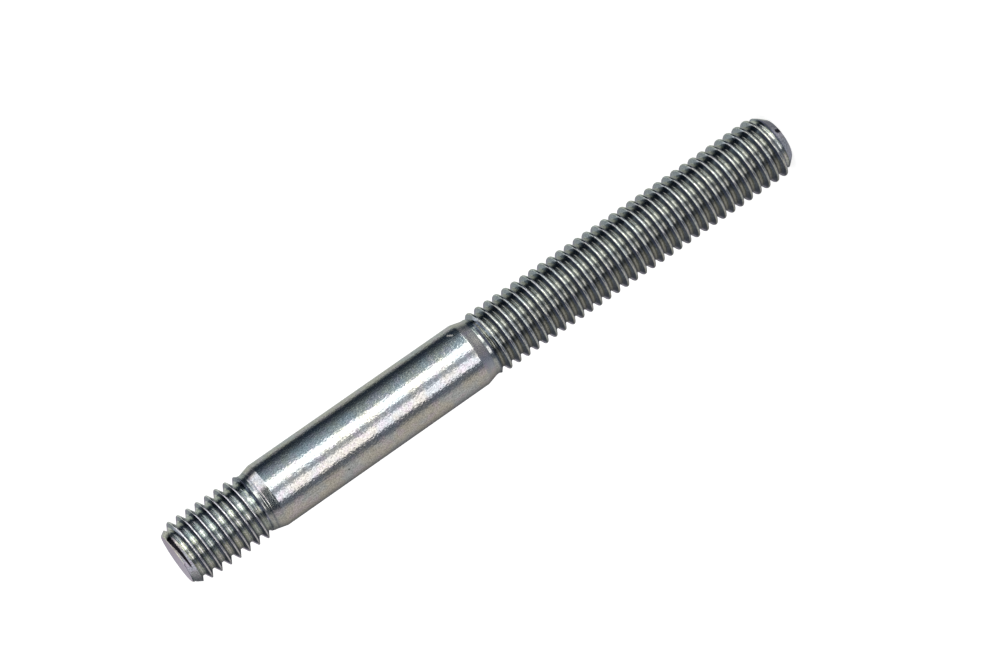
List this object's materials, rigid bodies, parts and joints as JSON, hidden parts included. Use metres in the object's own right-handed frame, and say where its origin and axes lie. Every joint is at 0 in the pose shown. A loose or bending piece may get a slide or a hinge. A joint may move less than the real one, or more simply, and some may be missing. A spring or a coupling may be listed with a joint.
{
  "type": "stud bolt",
  "caption": "Double-ended stud bolt with a short setting thread, a plain shank and a long nut thread, all right-hand, in bright zinc-plated steel.",
  "frame": {"origin": "centre of the nut end's flat face, on which the stud stands", "axes": "+Z along the stud's axis, from the nut end up to the setting end; +X and +Y are across it and alike"},
  "size_m": [0.0078, 0.0078, 0.083],
  "materials": {
    "zinc_plated_steel": "bright zinc plate with a faint blue and yellow tint, on drawn bar with rolled threads"
  },
  "bodies": {
    "root": {"stud": "zinc_plated_steel"}
  },
  "joints": []
}
